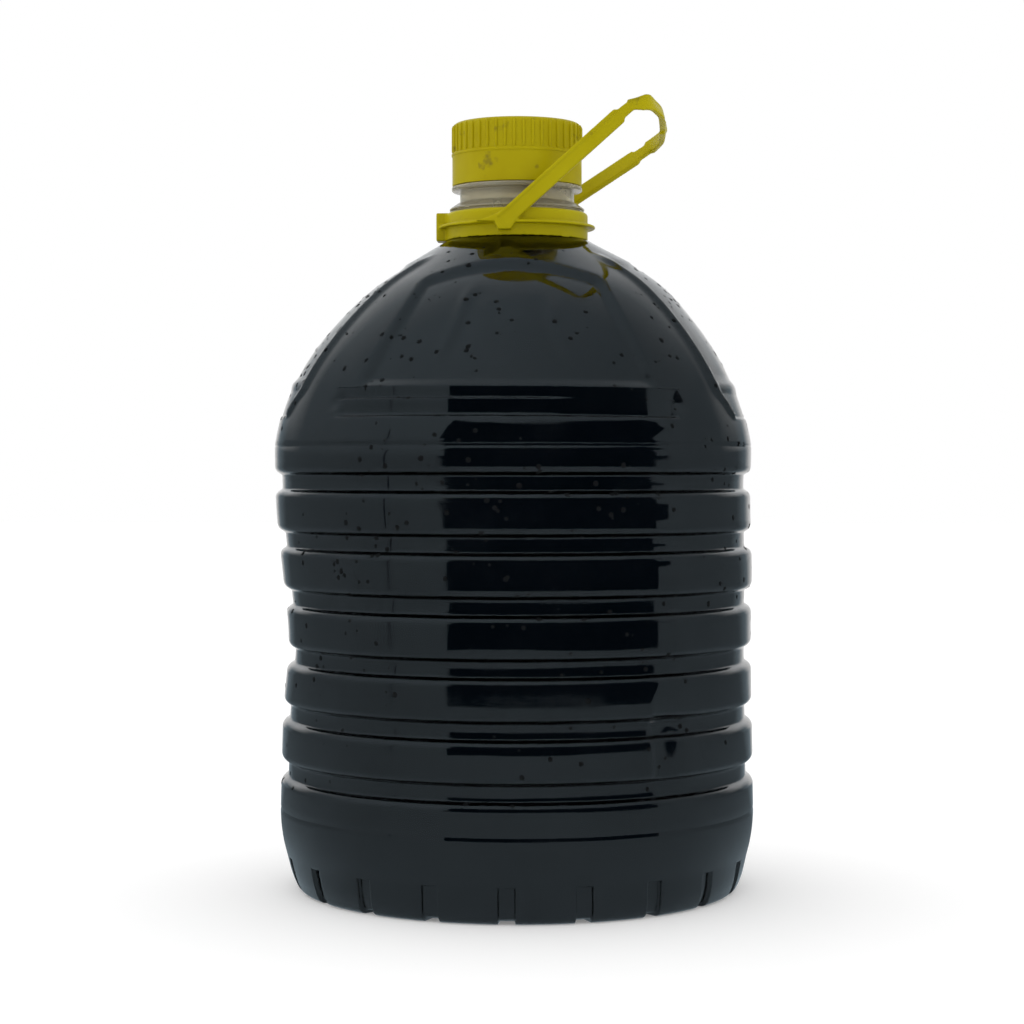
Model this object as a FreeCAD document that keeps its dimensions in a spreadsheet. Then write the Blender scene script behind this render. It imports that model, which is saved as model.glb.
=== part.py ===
import FreeCAD, Part
import math
import os
import re
import Sketcher

# Five-litre vinegar jug: a blow-moulded clear bottle, the vinegar in it, a fluted screw cap, and a
# snap-on collar whose carry bail is moulded in one piece with it.
# Frame: Z up, origin on the table at the jug's axis, front panel towards -Y, millimetres.

doc = FreeCAD.newDocument("vinegar_jug")
sheet = doc.addObject("Spreadsheet::Sheet", "sizes")

driving_sizes = {
    # body
    "body_radius": 90.8,
    "wall": 0.6,
    "liquid_clearance": 0.15,
    "foot_sweep": 55.0,
    "foot_sweep_height": 31.0,
    "foot_corner": 4.0,
    "foot_width": 10.8,
    "push_up": 12.0,
    "shoulder_base": 166.4,
    # notches round the foot
    "notch_width": 5.8,
    "notch_depth": 1.5,
    "notch_top": 13.0,
    "notch_run": 4.0,
    # rings round the body
    "lowest_ring": 45.6,
    "top_ring_drop": 13.3,
    "ring_depth": 2.7,
    "ring_mouth": 8.6,
    "ring_floor": 5.2,
    "lip_round": 3.0,
    "floor_round": 1.0,
    "crease_height": 30.6,
    "crease_depth": 0.5,
    "crease_width": 1.6,
    # shoulder
    "shoulder_radius": 92.0,
    "lean_angle": 9.3,
    "cone_angle": 57.0,
    # front and back panels with the two steps under them, heights from the shoulder's base
    "panel_depth": 2.0,
    "step_foot": 9.8,
    "step_height": 6.4,
    "upper_step_height": 4.3,
    "step_set_back": 0.3,
    "step_half_width": 61.5,
    "panel_foot": 23.0,
    "panel_foot_half_width": 53.0,
    "panel_head": 61.1,
    "panel_head_half_width": 32.5,
    "panel_crown_radius": 60.0,
    # side panels, heights from the shoulder's base
    "side_depth": 0.8,
    "side_ledge": 3.0,
    "side_foot": 26.0,
    "side_foot_half_width": 38.0,
    "side_head": 68.0,
    "side_head_half_width": 17.5,
    "side_edge_radius": 70.0,
    # neck, heights from the collar's seat
    "neck_radius": 21.6,
    "neck_wall": 2.2,
    "neck_step": 2.9,
    "bead_lip": 1.0,
    "bead_rise": 11.5,
    "bead_edge": 0.6,
    "bead_slope": 2.0,
    "ring_line_lip": 1.0,
    "ledge_lip": 3.1,
    "ledge_rise": 19.8,
    "ledge_height": 2.6,
    "finish_step": 0.7,
    "finish_height": 19.8,
    "fill_rise": 5.0,
    # cap
    "thread_room": 1.7,
    "cap_wall": 2.2,
    "cap_band_step": 0.3,
    "cap_band_height": 11.6,
    "cap_top": 2.2,
    "cap_edge": 1.6,
    "cap_gap": 0.2,
    "plug_depth": 2.6,
    "plug_wall": 1.2,
    "plug_clearance": 0.15,
    "flute_radius": 2.2,
    "flute_depth": 0.5,
    "flute_foot": 1.0,
    # collar
    "collar_fit": 0.3,
    "collar_wall": 2.0,
    "collar_height": 10.6,
    "collar_edge": 0.8,
    "collar_clearance": 0.2,
    "flange_lip": 2.8,
    "flange_rise": 4.6,
    "flange_thickness": 1.2,
    "lug_proud": 3.6,
    "lug_width": 9.0,
    # bail
    "bail_stand_off": 2.2,
    "bail_width": 6.0,
    "bail_thickness": 2.4,
    "bail_rim": 1.1,
    "bail_rim_lift": 0.5,
    "bail_corner": 7.2,
    "bail_back_corner": 5.0,
    "bail_bend": 6.0,
    "bail_crown": 20.0,
    "boss_depth": 7.0,
    "boss_set_in": 0.2,
    "neck_cut": 1.0,
    "neck_length": 4.6,
    "front_neck_back": 2.8,
    "back_neck_back": 4.6,
}
ring_count = 6
notch_count = 20
flute_count = 44

# Sizes that follow from the driving ones. The shoulder is an arc that leans in at its foot and runs
# on as a straight cone, and the collar's seat, the neck and the cap stand on where that cone ends.
worked_out_sizes = {
    "neck_root_radius": "neck_radius + neck_step",
    "neck_bore": "neck_radius - neck_wall",
    "bead_radius": "neck_root_radius + bead_lip",
    "ring_line_radius": "neck_radius + ring_line_lip",
    "ledge_radius": "neck_radius + ledge_lip",
    "finish_radius": "neck_radius - finish_step",
    "cap_bore": "finish_radius + thread_room",
    "cap_radius": "cap_bore + cap_wall",
    "cap_band_radius": "cap_radius - cap_band_step",
    "collar_bore": "neck_root_radius + collar_fit",
    "collar_radius": "collar_bore + collar_wall",
    "flange_radius": "collar_radius + flange_lip",
    "lug_reach": "collar_radius + lug_proud",
    "bail_half_span": "collar_radius + bail_stand_off",
    "ring_span": "shoulder_base - top_ring_drop - lowest_ring",
    "arc_x": "body_radius - shoulder_radius * cos(lean_angle * 1 deg)",
    "arc_z": "shoulder_base - shoulder_radius * sin(lean_angle * 1 deg)",
    "cone_rise": "1 / tan(cone_angle * 1 deg)",
    "cone_top": "arc_z + shoulder_radius / sin(cone_angle * 1 deg) + arc_x * cone_rise",
    "collar_seat": "cone_top - collar_radius * cone_rise + collar_clearance",
    "ledge_top": "collar_seat + ledge_rise + ledge_height",
    "mouth": "ledge_top + finish_height",
    "sweep_centre": "body_radius - foot_sweep",
    "corner_sine": "(foot_sweep_height - foot_corner) / (foot_sweep - foot_corner)",
    "corner_cosine": "sqrt(1 - corner_sine ^ 2)",
    "corner_centre": "sweep_centre + (foot_sweep - foot_corner) * corner_cosine",
    "foot_inner": "corner_centre - foot_width",
    "dome_radius": "(foot_inner ^ 2 + push_up ^ 2) / (2 * push_up)",
    "ring_flank": "(ring_mouth - ring_floor) / (2 * ring_depth)",
    "ring_spread": "sqrt(1 + ring_flank ^ 2) - ring_flank",
    "cap_foot": "ledge_top + cap_gap",
    "flange_foot": "collar_seat + flange_rise",
}
aliases = set(driving_sizes) | set(worked_out_sizes)
margin = "2"


def fill_sheet():
    formulas = {alias: str(value) for alias, value in driving_sizes.items()}
    formulas.update({alias: "=" + formula for alias, formula in worked_out_sizes.items()})
    for row, (alias, content) in enumerate(formulas.items(), start=1):
        sheet.set(f"A{row}", alias)
        sheet.set(f"B{row}", content)
        sheet.setAlias(f"B{row}", alias)
    doc.recompute()


def bound(formula):
    """The formula with each size's name written as the sheet's own."""
    return re.sub(r"[a-z_]+", lambda word: ("sizes." if word[0] in aliases else "") + word[0], formula)


def value_of(formula):
    value = probe.evalExpression(bound(formula))
    return float(getattr(value, "Value", value))


def origin_feature(body, role):
    return next(feature for feature in body.Origin.OriginFeatures if feature.Role == role)


def new_sketch(body, name, plane, offset=None):
    sketch = body.newObject("Sketcher::SketchObject", name)
    sketch.AttachmentSupport = [(origin_feature(body, plane), "")]
    sketch.MapMode = "FlatFace"
    if offset:
        sketch.setExpression("AttachmentOffset.Base.z", bound(offset))
    return sketch


def arc_between(start, end, radius, turns_left):
    """The short arc from start to end, turning left or right on its way."""
    chord = end - start
    aside = FreeCAD.Vector(-chord.y, chord.x, 0).normalize() * (1 if turns_left else -1)
    centre = (start + end) * 0.5 + aside * math.sqrt(radius ** 2 - chord.Length ** 2 / 4)
    return Part.Arc(start, centre - aside * radius, end)


def add_outline(sketch, corners):
    """A closed outline through corners (x, y). A corner (x, y, radius, "left" or "right") starts an
    arc of that radius instead of a straight side. Every place and radius is bound to the sheet."""
    first = sketch.GeometryCount
    count = len(corners)
    points = [FreeCAD.Vector(value_of(corner[0]), value_of(corner[1]), 0) for corner in corners]
    constraints = []
    formulas = []
    starts = []
    for index, corner in enumerate(corners):
        start, end = points[index], points[(index + 1) % count]
        if len(corner) == 2:
            side = Part.LineSegment(start, end)
        else:
            side = arc_between(start, end, value_of(corner[2]), corner[3] == "left")
            constraints.append(Sketcher.Constraint("Radius", first + index, value_of(corner[2])))
            formulas.append(corner[2])
        sketch.addGeometry(side, False)
        starts.append(2 if len(corner) > 2 and corner[3] == "right" else 1)
    for index, corner in enumerate(corners):
        item, start = first + index, starts[index]
        before = (index - 1) % count
        for kind, formula, value in (("DistanceX", corner[0], points[index].x),
                                     ("DistanceY", corner[1], points[index].y)):
            constraints.append(Sketcher.Constraint(kind, -1, 1, item, start, value))
            formulas.append(formula)
        meeting = (first + before, 3 - starts[before], item, start)
        constraints.append(Sketcher.Constraint("Coincident", *meeting))
        formulas.append(None)
    base = sketch.ConstraintCount
    sketch.addConstraint(constraints)
    for offset, formula in enumerate(formulas):
        if formula:
            sketch.setExpression(f"Constraints[{base + offset}]", bound(formula))


def turned(body, kind, name, corners):
    """A full turn about the jug's axis: a Revolution adds it, a Groove cuts it."""
    sketch = new_sketch(body, name + "_profile", "XZ_Plane")
    add_outline(sketch, corners)
    feature = body.newObject("PartDesign::" + kind, name)
    feature.Profile = sketch
    feature.ReferenceAxis = (sketch, ["V_Axis"])
    feature.Angle = 360
    doc.recompute()
    return feature


def extruded(body, kind, name, plane, corner_lists, length=None, offset=None, both_ways=False):
    """A Pad or Pocket of the closed outlines, through everything where no length is given."""
    sketch = new_sketch(body, name + "_outline", plane, offset)
    for corners in corner_lists:
        add_outline(sketch, corners)
    feature = body.newObject("PartDesign::" + kind, name)
    feature.Profile = sketch
    if both_ways:
        feature.SideType = "Symmetric"
    if length:
        feature.setExpression("Length", bound(length))
    else:
        feature.Type = "ThroughAll"
    doc.recompute()
    return feature


def repeated_round(body, name, original, count):
    pattern = body.newObject("PartDesign::PolarPattern", name)
    pattern.Originals = [original]
    pattern.Axis = (origin_feature(body, "Z_Axis"), [""])
    pattern.Angle = 360
    pattern.Occurrences = count
    body.Tip = pattern
    doc.recompute()
    return pattern


def cut_off(whole, feature, least):
    """Stops the build where a cut has taken less than it must."""
    taken = whole - feature.Shape.Volume
    if taken < least:
        raise RuntimeError(f"{feature.Name} takes only {taken:.2f} cubic millimetres")


# ---- the bottle's form, built three times: outer skin, inner wall and vinegar ----

def shoulder_arc(inset):
    """Radius and head of the shoulder's arc, that far inside the outer skin."""
    radius = f"(shoulder_radius - ({inset}))"
    head_x = f"(arc_x + {radius} * cos(cone_angle * 1 deg))"
    head_z = f"(arc_z + {radius} * sin(cone_angle * 1 deg))"
    return radius, head_x, head_z


def arc_at_height(inset, height):
    radius, _, _ = shoulder_arc(inset)
    return f"(arc_x + sqrt({radius} ^ 2 - ({height} - arc_z) ^ 2))"


def cone_at(inset, across):
    """Height of the shoulder's cone at a distance from the axis."""
    _, head_x, head_z = shoulder_arc(inset)
    return f"({head_z} + ({head_x} - ({across})) * cone_rise)"


def body_profile(inset, neck):
    """Half outline of the body from the push-up's centre out and up to the neck's corners."""
    arc_radius, head_x, head_z = shoulder_arc(inset)
    side = f"body_radius - {inset}"
    lean_foot = f"arc_z + sqrt({arc_radius} ^ 2 - ({side} - arc_x) ^ 2)"
    corner = f"(foot_corner - {inset})"
    dome = f"(dome_radius + {inset})"
    dome_foot = f"sqrt({dome} ^ 2 - (dome_radius - push_up + {inset}) ^ 2)"
    return [
        ("0", f"push_up + {inset}", dome, "right"),
        (dome_foot, inset),
        ("corner_centre", inset, corner, "left"),
        (f"corner_centre + {corner} * corner_cosine", f"foot_corner - {corner} * corner_sine",
         f"foot_sweep - {inset}", "left"),
        (side, "foot_sweep_height"),
        (side, lean_foot, arc_radius, "left"),
        (head_x, head_z),
    ] + neck


def cut_rings(body, inset):
    """The grooves round the body, then every lip and floor edge rounded."""
    reach = f"{inset} - {margin}"
    floor_half = f"(ring_floor / 2 + {inset} * ring_spread)"
    mouth_half = f"(ring_mouth / 2 + {inset} * ring_spread + {margin} * ring_flank)"
    floor = f"body_radius - ring_depth - {inset}"
    outside = f"body_radius - ({reach})"
    whole = body.Shape.Volume
    groove = turned(body, "Groove", "ring", [
        (floor, f"lowest_ring - {floor_half}"),
        (outside, f"lowest_ring - {mouth_half}"),
        (outside, f"lowest_ring + {mouth_half}"),
        (floor, f"lowest_ring + {floor_half}"),
    ])
    cut_off(whole, groove, 100)
    rings = body.newObject("PartDesign::LinearPattern", "rings")
    rings.Originals = [groove]
    rings.Direction = (origin_feature(body, "Z_Axis"), [""])
    rings.Occurrences = ring_count
    rings.setExpression("Length", bound("ring_span"))
    body.Tip = rings
    doc.recompute()
    round_ring_edges(body, "lip_rounding", "body_radius", f"lip_round - {inset}", inset)
    round_ring_edges(body, "floor_rounding", "body_radius - ring_depth", f"floor_round + {inset}", inset)


def round_ring_edges(body, name, circle, radius, inset):
    before = body.Tip
    rounding = body.newObject("PartDesign::Fillet", name)
    rounding.Base = (before, ring_edges(before.Shape, value_of(f"{circle} - {inset}")))
    rounding.setExpression("Radius", bound(radius))
    doc.recompute()


def ring_edges(shape, radius):
    """Names of the circles of that radius that bound the grooves' flanks."""
    low = value_of("lowest_ring - ring_mouth")
    high = value_of("lowest_ring + ring_span + ring_mouth")
    names = []
    for number, edge in enumerate(shape.Edges, start=1):
        box = edge.BoundBox
        if box.ZLength < 0.01 and low < box.ZMin < high and isinstance(edge.Curve, Part.Circle):
            if abs(edge.Curve.Radius - radius) < 0.01:
                names.append(f"Edge{number}")
    return names


def cut_crease(body, inset):
    """The fine line round the body where the base band starts."""
    whole = body.Shape.Volume
    crease = turned(body, "Groove", "crease", [
        (f"body_radius - crease_depth - {inset}", "crease_height"),
        (f"body_radius - {inset} + crease_depth", "crease_height - crease_width"),
        (f"body_radius - {inset} + crease_depth", "crease_height + crease_width"),
    ])
    cut_off(whole, crease, 10)


def cut_notches(body, inset):
    """Square-topped notches that run down round the foot's corner and a little way under it."""
    corner = f"(foot_corner - notch_depth - {inset})"
    sweep = f"(foot_sweep - notch_depth - {inset})"
    top = f"(notch_top + {inset})"
    inner = f"corner_centre - notch_run - {inset}"
    outside = f"body_radius + {margin}"
    whole = body.Shape.Volume
    notch = extruded(body, "Pocket", "notch", "XZ_Plane", [[
        ("corner_centre", f"foot_corner - {corner}", corner, "left"),
        (f"corner_centre + {corner} * corner_cosine", f"foot_corner - {corner} * corner_sine",
         sweep, "left"),
        (f"sweep_centre + sqrt({sweep} ^ 2 - ({top} - foot_sweep_height) ^ 2)", top),
        (outside, top),
        (outside, f"0 - {margin}"),
        (inner, f"0 - {margin}"),
        (inner, f"foot_corner - {corner}"),
    ]], length=f"notch_width + 2 * {inset}", both_ways=True)
    cut_off(whole, notch, 5)
    repeated_round(body, "notches", notch, notch_count)


def panel_cutter(name, profile, outline, plane):
    """A ring turned from the profile, of which only what lies within the outline is kept."""
    body = doc.addObject("PartDesign::Body", name)
    turned(body, "Revolution", "ring", profile)
    far = f"body_radius + 2 * {margin}"
    low = "shoulder_base / 2"
    high = f"mouth + {margin}"
    frame = [(f"0 - ({far})", low), (far, low), (far, high), (f"0 - ({far})", high)]
    extruded(body, "Pocket", "frame", plane, [frame, outline], both_ways=True)
    return body


def front_cutter(name, inset):
    """Front and back panels, with the two steps under them."""
    foot = f"shoulder_base + step_foot - {inset}"
    tread = f"{foot} + step_height"
    ledge = f"{tread} + upper_step_height"
    panel_foot = f"shoulder_base + panel_foot - {inset}"
    set_back = f"step_set_back + {inset}"
    riser = arc_at_height(set_back, f"({tread} + {inset})")
    upper_riser = arc_at_height(set_back, f"({ledge} + {inset})")
    depth = f"panel_depth + {inset}"
    radius, head_x, head_z = shoulder_arc(depth)
    outside = f"body_radius + {margin}"
    inner = f"(neck_root_radius - {inset})"
    profile = [
        (riser, foot),
        (outside, foot),
        (outside, cone_at("0", inner)),
        (inner, cone_at("0", inner)),
        (inner, cone_at(depth, inner)),
        (head_x, head_z, radius, "right"),
        (arc_at_height(depth, f"({panel_foot})"), panel_foot),
        (upper_riser, ledge),
        (upper_riser, tread),
        (riser, tread),
    ]
    low = "shoulder_base"
    step_head = f"shoulder_base + (step_foot + panel_foot) / 2 + {inset}"
    wide = f"(step_half_width + {inset})"
    middle = f"(panel_foot_half_width + {inset})"
    narrow = f"(panel_head_half_width + {inset})"
    head = f"shoulder_base + panel_head + {inset}"
    outline = [
        (f"0 - {wide}", low),
        (wide, low),
        (wide, step_head),
        (middle, "shoulder_base + panel_foot"),
        (narrow, head, "panel_crown_radius", "left"),
        (f"0 - {narrow}", head),
        (f"0 - {middle}", "shoulder_base + panel_foot"),
        (f"0 - {wide}", step_head),
    ]
    return panel_cutter(name, profile, outline, "XZ_Plane")


def side_cutter(name, inset):
    """Panels on the two sides, each a shield that ends in a sloping ledge."""
    depth = f"side_depth + {inset}"
    radius, head_x, head_z = shoulder_arc(depth)
    foot = f"(shoulder_base + side_foot - {inset})"
    foot_x = arc_at_height(depth, foot)
    inner = f"(neck_root_radius - {inset})"
    outside = f"body_radius + {margin}"
    profile = [
        (foot_x, foot),
        (f"{foot_x} + 2 * side_ledge", f"{foot} - 2 * side_ledge"),
        (outside, f"{foot} - 2 * side_ledge"),
        (outside, cone_at("0", inner)),
        (inner, cone_at("0", inner)),
        (inner, cone_at(depth, inner)),
        (head_x, head_z, radius, "right"),
    ]
    wide = f"(side_foot_half_width + {inset})"
    narrow = f"(side_head_half_width + {inset})"
    head = f"shoulder_base + side_head + {inset}"
    low = f"shoulder_base + side_foot - 2 * side_ledge - {inset}"
    outline = [
        (f"0 - {wide}", low),
        (wide, low, "side_edge_radius", "left"),
        (narrow, head),
        (f"0 - {narrow}", head, "side_edge_radius", "left"),
    ]
    return panel_cutter(name, profile, outline, "YZ_Plane")


def bottle_form(name, inset, neck):
    body = doc.addObject("PartDesign::Body", name + "_body")
    turned(body, "Revolution", "form", body_profile(inset, neck))
    cut_rings(body, inset)
    cut_crease(body, inset)
    cut_notches(body, inset)
    panels = doc.addObject("Part::MultiFuse", name + "_panels")
    panels.Shapes = [front_cutter(name + "_front", inset), side_cutter(name + "_sides", inset)]
    form = doc.addObject("Part::Cut", name)
    form.Base = body
    form.Tool = panels
    doc.recompute()
    cut_off(body.Shape.Volume, form, 1000)
    return form


def make_bottle():
    bead = "collar_seat + bead_rise"
    outer = bottle_form("outer_skin", "0", [
        ("neck_root_radius", cone_at("0", "neck_root_radius")),
        ("neck_root_radius", bead),
        ("bead_radius", bead),
        ("bead_radius", f"{bead} + bead_edge"),
        ("ring_line_radius", f"{bead} + bead_edge + bead_slope"),
        ("neck_radius", f"{bead} + bead_edge + bead_slope"),
        ("neck_radius", "collar_seat + ledge_rise"),
        ("ledge_radius", "collar_seat + ledge_rise"),
        ("ledge_radius", "ledge_top"),
        ("finish_radius", "ledge_top"),
        ("finish_radius", "mouth"),
        ("0", "mouth"),
    ])
    inner = bottle_form("inner_wall", "wall", [
        ("neck_bore", cone_at("wall", "neck_bore")),
        ("neck_bore", f"mouth + {margin}"),
        ("0", f"mouth + {margin}"),
    ])
    bottle = doc.addObject("Part::Cut", "bottle")
    bottle.Base = outer
    bottle.Tool = inner
    return bottle


def make_vinegar():
    inset = "(wall + liquid_clearance)"
    bore = "(neck_bore - liquid_clearance)"
    surface = "collar_seat + fill_rise"
    return bottle_form("vinegar", inset, [
        (bore, cone_at(inset, bore)),
        (bore, surface),
        ("0", surface),
    ])


# ---- the screw cap ----

def make_cap():
    body = doc.addObject("PartDesign::Body", "cap")
    band_top = "cap_foot + cap_band_height"
    top = "mouth + cap_top"
    plug = "(neck_bore - plug_clearance)"
    turned(body, "Revolution", "shell", [
        ("cap_bore", "cap_foot"),
        ("cap_band_radius", "cap_foot"),
        ("cap_band_radius", band_top),
        ("cap_radius", f"{band_top} + (cap_radius - cap_band_radius)"),
        ("cap_radius", f"{top} - cap_edge", "cap_edge", "left"),
        ("cap_radius - cap_edge", top),
        ("0", top),
        ("0", "mouth"),
        (f"{plug} - plug_wall", "mouth"),
        (f"{plug} - plug_wall", "mouth - plug_depth"),
        (plug, "mouth - plug_depth"),
        (plug, "mouth"),
        ("cap_bore", "mouth"),
    ])
    whole = body.Shape.Volume
    sketch = new_sketch(body, "flute_outline", "XY_Plane", f"{band_top} + flute_foot")
    sketch.addGeometry(Part.Circle(FreeCAD.Vector(30, 0, 0), FreeCAD.Vector(0, 0, 1), 2), False)
    sketch.addConstraint([
        Sketcher.Constraint("PointOnObject", 0, 3, -1),
        Sketcher.Constraint("DistanceX", -1, 1, 0, 3, 30),
        Sketcher.Constraint("Radius", 0, 2),
    ])
    sketch.setExpression("Constraints[1]", bound("cap_radius + flute_radius - flute_depth"))
    sketch.setExpression("Constraints[2]", bound("flute_radius"))
    flute = body.newObject("PartDesign::Pocket", "flute")
    flute.Profile = sketch
    flute.Type = "ThroughAll"
    flute.Reversed = True
    doc.recompute()
    cut_off(whole, flute, 1)
    repeated_round(body, "flutes", flute, flute_count)
    return body


# ---- the collar and its bail, one moulding ----

# The bail's route from its root at the collar's front, over the far end and back to its root
# behind: (along X, across Y as a share of the half span, height over the collar's seat).
bail_route = [
    (-4.2, -1, 5.1),
    (43.2, -1, 47.4),
    (50.4, -1, 49.2),
    (55.0, -0.62, 46.8),
    (56.0, 0.62, 41.2),
    (51.6, 1, 39.6),
    (-1.0, 1, 5.1),
]


def make_collar():
    body = doc.addObject("PartDesign::Body", "collar")
    top = "collar_seat + collar_height"
    turned(body, "Revolution", "ring", [
        ("0", "collar_seat"),
        ("collar_radius", "collar_seat"),
        ("collar_radius", "flange_foot"),
        ("flange_radius", "flange_foot"),
        ("flange_radius", "flange_foot + flange_thickness"),
        ("collar_radius", "flange_foot + flange_thickness"),
        ("collar_radius", f"{top} - collar_edge"),
        ("collar_radius - collar_edge", top),
        ("0", top),
    ])
    extruded(body, "Pad", "lug", "XY_Plane", [[
        ("0 - lug_reach", "0 - lug_width / 2"),
        ("0 - collar_bore", "0 - lug_width / 2"),
        ("0 - collar_bore", "lug_width / 2"),
        ("0 - lug_reach", "lug_width / 2"),
    ]], length="collar_height", offset="collar_seat")
    add_root(body, "front_root", bail_route[0], bail_route[1], False)
    add_root(body, "back_root", bail_route[-1], bail_route[-2], True)
    whole = body.Shape.Volume
    bore = turned(body, "Groove", "bore", [
        ("0", f"collar_seat - {margin}"),
        (f"collar_radius + {margin} / cone_rise", f"collar_seat - {margin}"),
        ("collar_bore", "collar_seat + (collar_radius - collar_bore) * cone_rise"),
        ("collar_bore", f"{top} + {margin}"),
        ("0", f"{top} + {margin}"),
    ])
    cut_off(whole, bore, 1000)
    return body


def add_root(body, name, root, leg_end, behind):
    """The web that sweeps up from the flange into a leg and carries on below it."""
    slope = (leg_end[2] - root[2]) / (leg_end[0] - root[0])
    along = root[0]
    height = f"(collar_seat + {root[2]})"
    half = f"(bail_width / 2 * {math.sqrt(1 + slope ** 2)})"
    outer_face = "bail_half_span + bail_thickness / 2 - boss_set_in"
    extruded(body, "Pad", name, "XZ_Plane", [[
        (f"{along} - 2 * bail_width", "flange_foot + flange_thickness / 2"),
        (f"{along} - bail_width / 2", "flange_foot + flange_thickness / 3"),
        (f"{along} - bail_width / 4", "collar_seat + bail_width / 3"),
        (f"{along} + bail_width / 2", "collar_seat + bail_width / 3"),
        (f"{along} + bail_width", f"{height} + {slope} * bail_width - {half}"),
        (f"{along} + bail_width", f"{height} + {slope} * bail_width"),
        (str(along), f"{height} + {half}", "4 * bail_width", "right"),
    ]], length="boss_depth", offset=f"0 - ({outer_face})" if behind else f"{outer_face} - boss_depth")


def bail_strap(section, points, radii):
    """The section run straight along each leg and turned about each corner's own axis."""
    pieces = []
    start = points[0]
    for before, corner, after, radius in zip(points, points[1:], points[2:], radii):
        inward = (before - corner).normalize()
        outward = (after - corner).normalize()
        half_angle = inward.getAngle(outward) / 2
        reach = radius / math.tan(half_angle)
        run = corner + inward * reach - start
        centre = corner + (inward + outward).normalize() * (radius / math.sin(half_angle))
        axis = outward.cross(inward)
        turn = 180 - 2 * math.degrees(half_angle)
        pieces.append(section.extrude(run))
        section = section.translated(run)
        pieces.append(section.revolve(centre, axis, turn))
        section = section.rotated(centre, axis, turn)
        start = corner + outward * reach
    pieces.append(section.extrude(points[-1] - start))
    return pieces[0].fuse(pieces[1:])


def bail_section(place, outward, upward):
    """The strap's section, with the raised rim along its upper edge."""
    half_width = value_of("bail_width / 2")
    half_thick = value_of("bail_thickness / 2")
    rim_foot = half_width - value_of("bail_rim")
    rim_out = half_thick + value_of("bail_rim_lift")
    corners = [(-half_thick, -half_width), (half_thick, -half_width), (half_thick, rim_foot),
               (rim_out, rim_foot), (rim_out, half_width), (-half_thick, half_width)]
    points = [place + outward * out + upward * up for out, up in corners]
    return Part.Face(Part.makePolygon(points + points[:1]))


def flex_neck(place, along, upward):
    """Two wedges that narrow the strap from both edges where it is meant to bend."""
    outward = along.cross(upward)
    half_width = value_of("bail_width / 2")
    half_length = value_of("neck_length / 2")
    floor = half_width - value_of("neck_cut")
    reach = value_of("bail_thickness")
    rise = half_width + reach - floor
    wedges = []
    for edge in (1, -1):
        corners = [(-half_length, floor), (half_length, floor),
                   (half_length + rise, half_width + reach), (-half_length - rise, half_width + reach)]
        points = [place - outward * reach + along * run + upward * (edge * up) for run, up in corners]
        face = Part.Face(Part.makePolygon(points + points[:1]))
        wedges.append(face.extrude(outward * (2 * reach)))
    return wedges


def make_bail():
    half_span = value_of("bail_half_span")
    seat = value_of("collar_seat")
    points = [FreeCAD.Vector(x, side * half_span, seat + rise) for x, side, rise in bail_route]
    runs = [(end - start).normalize() for start, end in zip(points, points[1:])]
    outward = FreeCAD.Vector(0, -1, 0)
    upward = [outward.cross(runs[0])]
    for before, after in zip(runs, runs[1:]):
        upward.append(FreeCAD.Rotation(before, after).multVec(upward[-1]))
    radii = [value_of(size) for size in
             ("bail_bend", "bail_corner", "bail_crown", "bail_crown", "bail_back_corner")]
    section = bail_section(points[0], outward, upward[0])
    strap = bail_strap(section, points, radii)
    front_back, back_back = value_of("front_neck_back"), value_of("back_neck_back")
    cutters = flex_neck(points[1] - runs[0] * front_back, runs[0], upward[0])
    cutters += flex_neck((points[3] + points[4]) / 2, runs[3], upward[3])
    cutters += flex_neck(points[5] + runs[5] * back_back, runs[5], upward[5])
    bail = doc.addObject("Part::Feature", "bail")
    bail.Shape = strap.cut(cutters)
    return bail


def make_carry_handle():
    handle = doc.addObject("Part::Fuse", "carry_handle")
    handle.Base = make_collar()
    handle.Tool = make_bail()
    handle.Refine = False
    return handle


def check_document():
    for item in doc.Objects:
        if "Invalid" in item.State or "Error" in item.State:
            raise RuntimeError(f"{item.Name} has failed: {item.State}")


def export(sub_parts):
    os.makedirs("parts", exist_ok=True)
    for sub_part in sub_parts:
        shape = sub_part.Shape
        if shape.isNull() or not shape.isValid() or len(shape.Solids) != 1:
            raise RuntimeError(f"{sub_part.Label} is not one valid solid")
        print(f"{sub_part.Label}: {shape.Volume / 1000:.1f} cm3, {len(shape.Faces)} faces")
    for sub_part in sub_parts:
        sub_part.Shape.exportStep(f"parts/{sub_part.Label}.step")


fill_sheet()
probe = doc.addObject("App::FeaturePython", "probe")
sub_parts = [make_bottle(), make_vinegar(), make_cap(), make_carry_handle()]
doc.recompute()
check_document()
export(sub_parts)
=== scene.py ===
import math
import bpy
import bmesh
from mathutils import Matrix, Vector, noise


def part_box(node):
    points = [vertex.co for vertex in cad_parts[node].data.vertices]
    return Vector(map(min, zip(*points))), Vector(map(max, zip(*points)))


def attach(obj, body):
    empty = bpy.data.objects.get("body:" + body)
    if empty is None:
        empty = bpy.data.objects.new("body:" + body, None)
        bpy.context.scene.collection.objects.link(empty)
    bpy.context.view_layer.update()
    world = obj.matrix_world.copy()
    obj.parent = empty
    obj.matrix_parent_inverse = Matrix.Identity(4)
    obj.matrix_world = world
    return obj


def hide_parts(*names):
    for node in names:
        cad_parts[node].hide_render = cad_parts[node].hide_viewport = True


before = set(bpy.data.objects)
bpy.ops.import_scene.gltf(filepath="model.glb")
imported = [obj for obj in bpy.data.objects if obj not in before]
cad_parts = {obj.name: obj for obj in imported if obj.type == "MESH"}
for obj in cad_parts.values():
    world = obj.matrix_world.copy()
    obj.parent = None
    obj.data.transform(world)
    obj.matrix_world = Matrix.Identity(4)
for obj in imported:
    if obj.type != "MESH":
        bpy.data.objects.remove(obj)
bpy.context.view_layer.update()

mm = 0.001
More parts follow.
